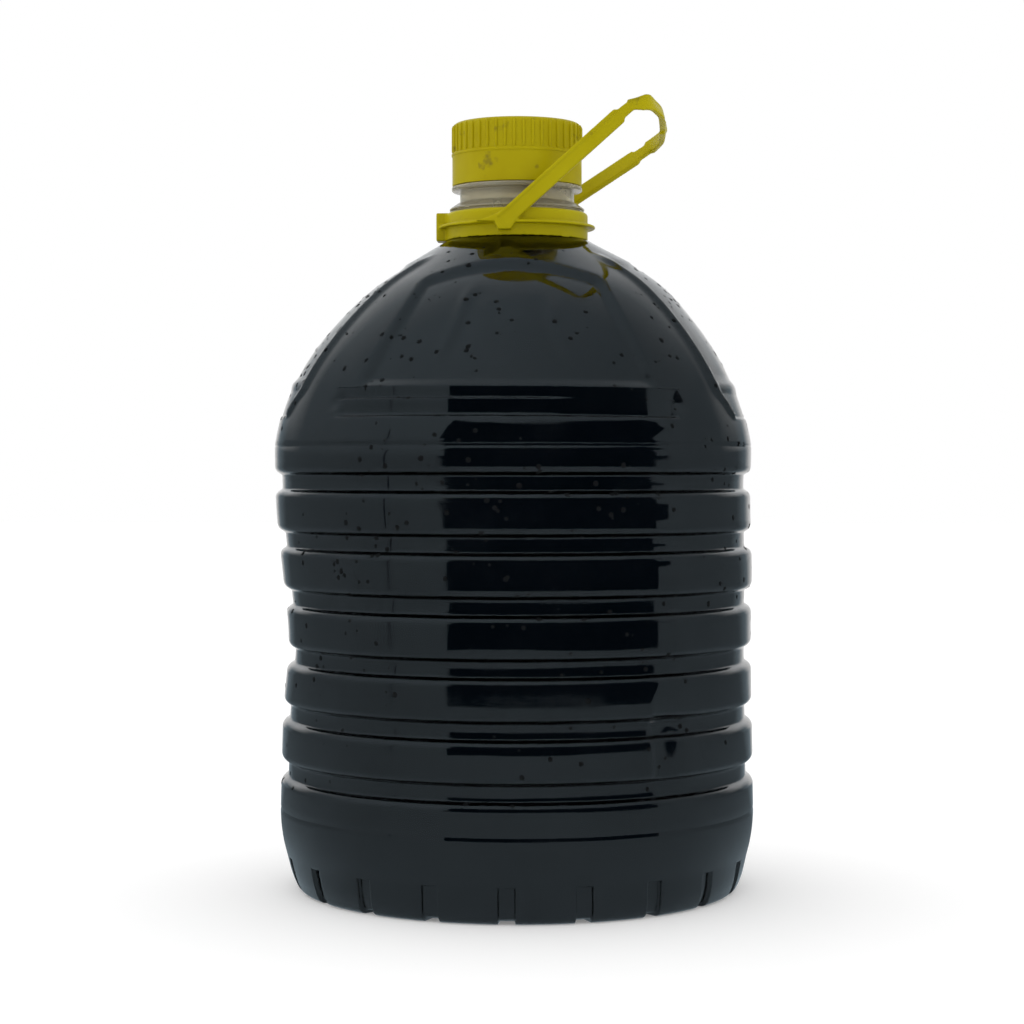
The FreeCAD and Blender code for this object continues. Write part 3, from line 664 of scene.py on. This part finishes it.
# The inner wall is hidden behind the vinegar, so it is coarse and lies well inside the skin.
innerWall = {
    "columns": 64, "shoulderInset": 3.4, "shoulderHeights": (243, 236, 226, 214, 202, 190, 178),
    "bodyInset": 3.6, "bodyTop": 162, "bodyFoot": 29, "bodyRow": 12,
    "foot": [(86.2, 26), (84.2, 18), (81.2, 10), (76, 4), (66, 4.5), (36, 12.4)],
    "dentFoot": 14, "dentHead": 165, "baseHeight": 3,
}


def innerRings():
    wall = innerWall
    line = [Vector((shoulderAt(height, wall["shoulderInset"])[0], height))
            for height in wall["shoulderHeights"]]
    line += [Vector((bodyRadius - wall["bodyInset"], height))
             for height in range(wall["bodyTop"], wall["bodyFoot"], -wall["bodyRow"])]
    line += [Vector(corner) for corner in wall["foot"]]
    angles = evenAngles(wall["columns"])
    rings = []
    for point in line:
        dented = wall["dentFoot"] < point.y < wall["dentHead"]
        rings.append(([turned(point.x - (dentDepth(angle, point.y) if dented else 0), angle, point.y)
                       for angle in angles], angles))
    return rings + [(Vector((0, 0, bottle["pushUp"] + wall["baseHeight"])), None)]


shellRings = outerRings + turnedRings(neckLine(), columns["neck"]) + innerRings()
bottleShell = addPiece("bottleShell", skinMesh("bottleShell", shellRings))
bottleShell.data.materials.append(petMaterial)
bottleShell.data.materials.append(neckMaterial)
for face in bottleShell.data.polygons:
    face.material_index = int(face.center.z > (collarSeat + 8) * mm)   # the neck, from inside the collar up
print("bottle shell:", len(bottleShell.data.polygons), "faces")


# The vinegar follows the skin a little way inside the wall, up to its level in the neck.
vinegar = {
    "inWall": 0.2, "rootAcross": 22.0, "rootHeight": 246.6, "boreFoot": 248.0,
    "rim": 0.4, "rimHeight": 0.2, "dip": 0.3,
}


def vinegarRings():
    normals = [vertex.normal.copy() for vertex in bottleShell.data.vertices]
    rings = []
    first = 0
    for ring, angles in outerRings[:-1]:
        if angles is None:
            rings.append((ring - normals[first] * vinegar["inWall"], None))
            first += 1
        else:
            rings.append(([point - normals[first + index] * vinegar["inWall"]
                           for index, point in enumerate(ring)], angles))
            first += len(ring)
    bore = bottle["neckBore"] + vinegar["inWall"]
    rings += turnedRings([
        Vector((vinegar["rootAcross"], vinegar["rootHeight"])), Vector((bore, vinegar["boreFoot"])),
        Vector((bore, fillHeight - vinegar["rimHeight"])), Vector((bore - vinegar["rim"], fillHeight))],
        columns["neck"])
    return rings + [(Vector((0, 0, fillHeight - vinegar["dip"])), None)]


vinegarFill = addPiece("vinegarFill", skinMesh("vinegarFill", vinegarRings()))
vinegarFill.data.materials.append(vinegarMaterial)
print("vinegar fill:", len(vinegarFill.data.polygons), "faces")


screwCap = {
    "skirtDrop": 1.9,   # the skirt comes down over the neck's ledge
    "ribCount": 44, "ribWidth": 1.2, "ribFoot": 0.9, "ribHead": 0.9, "ribSteps": 12, "ribSides": 10,
    # how wide the rib is along its height: share of the height, share of the width
    "ribTaper": [(0.0, 0.25), (0.08, 0.95), (0.9, 1.0), (1.0, 0.35)],
    "radius": 24.8, "valley": 24.15, "band": 24.5, "bandHeight": 11.4, "edge": 1.6,
    "lip": 0.25, "ledge": 0.75, "ledgeEnd": 1.25,
    "bore": 22.6, "plug": 19.2, "plugWall": 1.2, "plugDepth": 2.6, "ceilingRun": 6,
}
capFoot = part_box("cap")[0].z / mm - screwCap["skirtDrop"]
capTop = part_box("cap")[1].z / mm


def capLine():
    cap = screwCap
    bandTop = capFoot + cap["bandHeight"]
    plug, bore, ceiling = cap["plug"], cap["bore"], mouthHeight
    plugBore, plugFoot = plug - cap["plugWall"], ceiling - cap["plugDepth"]
    return roundedLine([
        (plugBore - cap["ceilingRun"], ceiling), (plugBore, ceiling, 0.3, 30),
        (plugBore, plugFoot, 0.3, 30), (plug, plugFoot, 0.3, 30),
        (plug, ceiling, 0.1, 45), (bore, ceiling, 0.6, 30), (bore, capFoot, 0.35, 30),
        (cap["band"], capFoot, 0.35, 18), (cap["band"], bandTop - cap["lip"], 0.15, 30),
        (cap["radius"], bandTop, 0.18, 30), (cap["radius"], bandTop + cap["ledge"], 0.2, 30),
        (cap["valley"], bandTop + cap["ledgeEnd"], 0.3, 30),
        (cap["valley"], capTop, cap["edge"], 9), (10, capTop), (3, capTop)], 2.2)


# A new tree that takes a piece's mesh and the named inputs; gives the tree and its input sockets.
def startTree(name, inputs):
    tree = bpy.data.node_groups.new(name, "GeometryNodeTree")
    for label, kind in {"Geometry": "Geometry", **inputs, "Finish": "Material"}.items():
        tree.interface.new_socket(name=label, in_out="INPUT", socket_type="NodeSocket" + kind)
    tree.interface.new_socket(name="Geometry", in_out="OUTPUT", socket_type="NodeSocketGeometry")
    return tree, addNode(tree, "NodeGroupInput").outputs


# The tree's end: instances made real, shaded smooth and given their finish.
def finishTree(tree, given, geometry):
    real = addNode(tree, "GeometryNodeRealizeInstances", {0: geometry})
    smooth = addNode(tree, "GeometryNodeSetShadeSmooth", {0: real.outputs[0]})
    finished = addNode(tree, "GeometryNodeSetMaterial", {0: smooth.outputs[0], "Material": given["Finish"]})
    addNode(tree, "NodeGroupOutput", {0: finished.outputs[0]})
    return tree


# Runs a tree on a piece with its named inputs, and keeps the result as a plain mesh.
def applyTree(piece, tree, values):
    modifier = piece.modifiers.new(tree.name, "NODES")
    modifier.node_group = tree
    for item in tree.interface.items_tree:
        if item.in_out == "INPUT" and item.name in values:
            modifier[item.identifier] = values[item.name]
    return flatten(piece)


# Ribs round the skirt: one tapered bar, set round the axis and joined to the cap.
def ribTree():
    tree, given = startTree("capRibs", {"Count": "Int", "Radius": "Float", "Rib Width": "Float",
                                        "Foot": "Float", "Head": "Float"})
    foot = addNode(tree, "ShaderNodeCombineXYZ", {"X": given["Radius"], "Z": given["Foot"]})
    head = addNode(tree, "ShaderNodeCombineXYZ", {"X": given["Radius"], "Z": given["Head"]})
    bar = addNode(tree, "GeometryNodeCurvePrimitiveLine", {
        "Start": foot.outputs[0], "End": head.outputs[0]})
    cut = addNode(tree, "GeometryNodeResampleCurve", {
        "Curve": bar.outputs[0], "Count": screwCap["ribSteps"]})
    along = addNode(tree, "GeometryNodeSplineParameter").outputs["Factor"]
    taper = addNode(tree, "ShaderNodeFloatCurve", {"Value": along})
    curve = taper.mapping.curves[0]
    start, *between, end = screwCap["ribTaper"]
    curve.points[0].location = start
    curve.points[1].location = end
    for place in between:
        curve.points.new(*place)
    taper.mapping.update()
    halfWidth = addMath(tree, "MULTIPLY", given["Rib Width"], 0.5)
    section = addNode(tree, "GeometryNodeCurvePrimitiveCircle", {
        "Resolution": screwCap["ribSides"], "Radius": halfWidth})
    rib = addNode(tree, "GeometryNodeCurveToMesh", {
        "Curve": cut.outputs[0], "Profile Curve": section.outputs[0], "Scale": taper.outputs[0],
        "Fill Caps": True})
    posts = addNode(tree, "GeometryNodePoints", {"Count": given["Count"]})
    pitch = addMath(tree, "DIVIDE", 2 * math.pi, given["Count"])
    swing = addMath(tree, "MULTIPLY", addNode(tree, "GeometryNodeInputIndex").outputs[0], pitch)
    turn = addNode(tree, "ShaderNodeCombineXYZ", {"Z": swing})
    ribs = addNode(tree, "GeometryNodeInstanceOnPoints", {
        "Points": posts.outputs[0], "Instance": rib.outputs[0], "Rotation": turn.outputs[0]})
    joined = addNode(tree, "GeometryNodeJoinGeometry", {0: given["Geometry"]})
    tree.links.new(ribs.outputs[0], joined.inputs[0])
    return finishTree(tree, given, joined.outputs[0])


capRings = [(Vector((0, 0, mouthHeight)), None)]
capRings += turnedRings(capLine(), evenAngles(skinGrid["capColumns"]))
capRings.append((Vector((0, 0, capTop)), None))
jugCap = addPiece("screwCap", skinMesh("screwCap", capRings))
jugCap.data.materials.append(capYellow)
applyTree(jugCap, ribTree(), {
    "Count": screwCap["ribCount"], "Radius": (screwCap["radius"] - screwCap["ribWidth"] / 2) * mm,
    "Rib Width": screwCap["ribWidth"] * mm, "Head": (capTop - screwCap["ribHead"]) * mm,
    "Foot": (capFoot + screwCap["bandHeight"] + screwCap["ribFoot"]) * mm, "Finish": capYellow})
print("screw cap:", len(jugCap.data.polygons), "faces")


collarBail = {
    "grid": 0.36, "smoothing": 8,
    # where the bail's far end has sagged: place (x, z), move (x, z) and reach
    "sags": [(57.5, 298.0, -4.4, -0.8, 6.5), (43.0, 299.0, 0.3, -2.4, 5.0), (58.0, 281.5, -1.0, 0.8, 4.5)],
}


# The moulding is meshed evenly from the frame's, so its edges can be softened and its end can sag.
def makeCollarBail():
    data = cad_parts["carry_handle"].data.copy()
    mesh = bmesh.new()
    mesh.from_mesh(data)
    bmesh.ops.remove_doubles(mesh, verts=mesh.verts, dist=1e-6)
    bmesh.ops.recalc_face_normals(mesh, faces=mesh.faces)
    mesh.to_mesh(data)
    mesh.free()
    data.materials.clear()
    data.materials.append(collarYellow)
    piece = addPiece("collarBail", data)
    remesh = piece.modifiers.new("even", "REMESH")
    remesh.mode = "VOXEL"
    remesh.voxel_size = collarBail["grid"] * mm
    remesh.use_smooth_shade = True
    flatten(piece)
    for vertex in piece.data.vertices:
        move = Vector((0, 0, 0))
        for x, z, moveX, moveZ, reach in collarBail["sags"]:
            near = math.hypot(vertex.co.x / mm - x, vertex.co.z / mm - z)
            move += bell(near, reach) * Vector((moveX, 0, moveZ))
        vertex.co += move * mm
    soften = piece.modifiers.new("soften", "SMOOTH")
    soften.iterations = collarBail["smoothing"]
    flatten(piece)
    piece.data.shade_smooth()
    return piece


collarAndBail = makeCollarBail()
print("collar and bail:", len(collarAndBail.data.polygons), "faces")


driedDrops = {
    "density": 27000.0, "smallest": 0.25, "largest": 1.1, "flatness": 0.14, "seed": 11,
    "skinFoot": 40, "skinHead": 240, "thinFoot": 0.03, "thickHead": 0.2, "footShare": 0.12,
    "patchScale": 28.0, "patchFrom": 0.42, "patchTo": 0.68,
    "stops": [(0.3, (0.0025, 0.003, 0.0035)), (0.7, (0.006, 0.0068, 0.0075))],
}


def makeDropMaterial():
    material, tree, drop, place = newMaterial("driedDrops")
    setInputs(drop, {
        "Base Color": addColours(tree, addNoise(tree, place, 300), driedDrops["stops"]),
        "Roughness": 0.75, "Specular IOR Level": 0.15})
    return material


# Flat beads strewn over a skin: more of them higher up, and in patches.
def dropTree():
    tree, given = startTree("driedDrops", {"Density": "Float", "Smallest": "Float", "Largest": "Float",
                                           "Seed": "Int"})
    place = addNode(tree, "GeometryNodeInputPosition").outputs[0]
    parts = addNode(tree, "ShaderNodeSeparateXYZ", {0: place})
    higher = addRange(tree, parts.outputs["Z"], driedDrops["thinFoot"], driedDrops["thickHead"],
                      driedDrops["footShare"], 1.0)
    patches = addNoise(tree, place, driedDrops["patchScale"], 2.0, 0.5)
    patchy = addRange(tree, patches, driedDrops["patchFrom"], driedDrops["patchTo"])
    density = addMath(tree, "MULTIPLY", addMath(tree, "MULTIPLY", higher, patchy), given["Density"])
    scatter = addNode(tree, "GeometryNodeDistributePointsOnFaces", {
        "Mesh": given["Geometry"], "Density": density, "Seed": given["Seed"]})
    size = addNode(tree, "FunctionNodeRandomValue", {
        2: given["Smallest"], 3: given["Largest"], "Seed": given["Seed"]}, data_type="FLOAT").outputs[1]
    thin = addMath(tree, "MULTIPLY", size, driedDrops["flatness"])
    flat = addNode(tree, "ShaderNodeCombineXYZ", {"X": size, "Y": size, "Z": thin})
    bead = addNode(tree, "GeometryNodeMeshIcoSphere", {"Radius": 1.0, "Subdivisions": 2})
    drops = addNode(tree, "GeometryNodeInstanceOnPoints", {
        "Points": scatter.outputs["Points"], "Instance": bead.outputs[0],
        "Rotation": scatter.outputs["Rotation"], "Scale": flat.outputs[0]})
    return finishTree(tree, given, drops.outputs[0])


# The drops take the place of the skin they are strewn on, which is the bottle's own.
skinRings = [ring for ring in outerRings[1:]
             if driedDrops["skinFoot"] < ring[0][0].z < driedDrops["skinHead"]]
drops = addPiece("driedDrops", skinMesh("driedDrops", skinRings))
dropMaterial = makeDropMaterial()
drops.data.materials.append(dropMaterial)
applyTree(drops, dropTree(), {
    "Density": driedDrops["density"], "Smallest": driedDrops["smallest"] * mm,
    "Largest": driedDrops["largest"] * mm, "Seed": driedDrops["seed"], "Finish": dropMaterial})
print("dried drops:", len(drops.data.polygons), "faces")


for piece, node, slot in ((bottleShell, "bottle", "clear_pet"), (vinegarFill, "vinegar", "dark_vinegar"),
                          (jugCap, "cap", "yellow_cap"), (collarAndBail, "carry_handle", "yellow_collar")):
    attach(piece, "root")
    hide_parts(node)
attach(drops, "root")


studio = {
    "background": (1.0, 1.0, 1.0), "fromLeft": (1.12, 0.84), "fromBack": (0.76, 1.5),
    # what the gloss sees: the room's colour and its level from the front (-1) to the back (1)
    "room": (0.36, 0.45, 0.51),
    "glossByDepth": [(-1.0, 1.25), (0.0, 1.0), (0.5, 0.61), (0.75, 0.42), (0.88, 0.83)],
    "farBack": 0.975,
    # patches past the jug's top and at its far side: colour, range of depth, range of height
    "patches": [((0.44, 0.5, 0.54), (0.1, 0.5), (0.4, 0.7)), ((0.95, 0.98, 1.0), (0.52, 0.8), (0.1, 0.3))],
    "lift": 0.3, "glossLevel": 0.85,
    "floorColour": (0.86, 0.86, 0.86, 1), "floorGlow": 0.2, "floorHalf": 6,
    # the painted shade in the floor's gloss under the jug: where it is darkest, where it clears, and its levels
    "shadeRadius": 0.078, "clearRadius": 0.088, "shadeLevel": 0.3, "clearLevel": 0.95,
}


# For camera and transmitted rays, and for glossy rays: 1 where the ray is one.
def rayMixes(tree):
    path = addNode(tree, "ShaderNodeLightPath").outputs
    seen = addMath(tree, "MAXIMUM", path["Is Camera Ray"], path["Is Transmission Ray"])
    return seen, path["Is Glossy Ray"]


# What the gloss sees of the room: dim in front, dimmer beside it, bright behind and at the left above.
def roomGloss(tree, heading):
    parts = addNode(tree, "ShaderNodeSeparateXYZ", {0: heading}).outputs
    stops = [((depth + 1) / 2, tuple(level * channel for channel in studio["room"]))
             for depth, level in studio["glossByDepth"]]
    stops.append((studio["farBack"], studio["background"]))
    colour = addColours(tree, addRange(tree, parts["Y"], -1.0, 1.0), stops)
    for patchColour, depths, heights in studio["patches"]:
        share = addMath(tree, "MULTIPLY", addRange(tree, parts["Y"], *depths),
                        addRange(tree, parts["Z"], *heights))
        colour = mixColour(tree, share, colour, patchColour)
    lift = addMath(tree, "SUBTRACT", studio["lift"], addMath(tree, "MULTIPLY", parts["X"], studio["lift"]))
    lift = addMath(tree, "MULTIPLY", lift, addMath(tree, "MAXIMUM", parts["Z"], 0.0))
    level = addMath(tree, "ADD", lift, studio["glossLevel"])
    return addNode(tree, "ShaderNodeVectorMath", {0: colour, "Scale": level}, operation="SCALE").outputs[0]


def makeWorld():
    world = bpy.data.worlds.new("studio")
    bpy.context.scene.world = world
    world.use_nodes = True
    tree = world.node_tree
    heading = addNode(tree, "ShaderNodeTexCoord").outputs["Generated"]
    parts = addNode(tree, "ShaderNodeSeparateXYZ", {0: heading}).outputs
    even = addMath(tree, "MULTIPLY", addRange(tree, parts["X"], -1.0, 1.0, *studio["fromLeft"]),
                   addRange(tree, parts["Y"], -1.0, 1.0, *studio["fromBack"]))
    plain = addNode(tree, "ShaderNodeCombineColor", {"Red": even, "Green": even, "Blue": even})
    seen, glossy = rayMixes(tree)
    lit = mixColour(tree, glossy, plain.outputs[0], roomGloss(tree, heading))
    setInputs(tree.nodes["Background"], {"Color": mixColour(tree, seen, lit, studio["background"])})


# A pale floor. Glossy rays see a painted reflection of the room glowing from it instead, with painted shade close
# under the jug.
def makeFloor():
    material, tree, paint, place = newMaterial("paleFloor")
    setInputs(paint, {"Base Color": studio["floorColour"], "Roughness": 0.9, "Specular IOR Level": 0.0})
    seen, glossy = rayMixes(tree)
    glow = addNode(tree, "ShaderNodeEmission", {"Color": (1, 1, 1, 1), "Strength": studio["floorGlow"]})
    bright = addNode(tree, "ShaderNodeAddShader", {0: paint.outputs[0], 1: glow.outputs[0]})
    heading = addNode(tree, "ShaderNodeVectorMath", {0: place}, operation="NORMALIZE").outputs[0]
    reach = addNode(tree, "ShaderNodeVectorMath", {0: place}, operation="LENGTH").outputs["Value"]
    # a painted reflection of the room for glossy rays, dimmed near the jug as painted shade
    far = addNode(tree, "ShaderNodeEmission", {
        "Color": roomGloss(tree, heading),
        "Strength": addRange(tree, reach, studio["shadeRadius"], studio["clearRadius"],
                             studio["shadeLevel"], studio["clearLevel"])})
    reflected = addNode(tree, "ShaderNodeMixShader", {0: glossy, 1: paint.outputs[0], 2: far.outputs[0]})
    final = addNode(tree, "ShaderNodeMixShader", {0: seen, 1: reflected.outputs[0], 2: bright.outputs[0]})
    setInputs(tree.nodes["Material Output"], {"Surface": final.outputs[0]})
    data = bpy.data.meshes.new("floor")
    half = studio["floorHalf"]
    corners = [(-half, -half, 0), (half, -half, 0), (half, half, 0), (-half, half, 0)]
    data.from_pydata(corners, [], [(0, 1, 2, 3)])
    data.materials.append(material)
    addPiece("floor", data)


# A dark board and a slim stand in front of the jug, seen only by glossy rays: they glow their own dark colour and
# paint the dark reflection on the bottle.
darkBoard = {
    "radius": 815.0, "steps": 24, "colour": (0.012, 0.03, 0.05, 1),
    # its height, and its left and right ends in degrees
    "levels": [(0.0, -28.9, 69.5), (140.0, -28.9, 69.5), (152.0, -30.5, 77.0), (174.0, -30.5, 77.0),
               (180.0, -27.5, 70.0), (420.0, -28.5, 70.0), (445.0, -31.0, 78.0), (590.0, -26.0, 69.0)],
    "standAngle": -57.0, "standHalf": 0.35, "standHeight": 470.0,
}


def makeBoard():
    steps, levels = darkBoard["steps"], darkBoard["levels"]
    standAt, half = darkBoard["standAngle"], darkBoard["standHalf"]
    stand = [(height, standAt - half, standAt + half) for height in (0.0, darkBoard["standHeight"])]
    points, faces = [], []
    for foot, head in (*zip(levels, levels[1:]), stand):
        start = len(points)
        for height, left, right in (foot, head):
            for step in range(steps + 1):
                angle = math.radians(left + (right - left) * step / steps)
                points.append(turned(darkBoard["radius"], angle, height) * mm)
        upper = start + steps + 1
        faces += [(start + i, start + i + 1, upper + i + 1, upper + i) for i in range(steps)]
    data = bpy.data.meshes.new("darkBoard")
    data.from_pydata(points, [], faces)
    material, tree = newMaterial("darkBoard")[:2]
    # the board is not lit: it glows its dark colour as a painted reflection
    glow = addNode(tree, "ShaderNodeEmission", {"Color": darkBoard["colour"], "Strength": 1.0})
    setInputs(tree.nodes["Material Output"], {"Surface": glow.outputs[0]})
    data.materials.append(material)
    board = addPiece("darkBoard", data)
    board.visible_camera = False
    board.visible_diffuse = False
    board.visible_transmission = False
    board.visible_shadow = False


# The camera: height of its eye, distance and turn from the front, step aside, tilt down and lens.
view = {
    "eye": 158.3, "distance": 931.0, "azimuth": 2.5, "aside": -1.9, "tilt": 1.03,
    "lens": 86.13, "sensor": 36,
}


def makeCamera():
    turn = math.radians(view["azimuth"])
    lens = bpy.data.cameras.new("camera")
    lens.sensor_width = view["sensor"]
    lens.lens = view["lens"]
    lens.clip_start = 0.05
    camera = bpy.data.objects.new("camera", lens)
    bpy.context.scene.collection.objects.link(camera)
    aside, back = view["aside"], view["distance"]
    camera.location = Vector((aside * math.cos(turn) + back * math.sin(turn),
                              aside * math.sin(turn) - back * math.cos(turn), view["eye"])) * mm
    camera.rotation_euler = (math.radians(90 - view["tilt"]), 0, turn)
    bpy.context.scene.camera = camera


makeWorld()
makeFloor()
makeBoard()
makeCamera()
bpy.context.scene.view_settings.view_transform = "Standard"
print("studio ready")
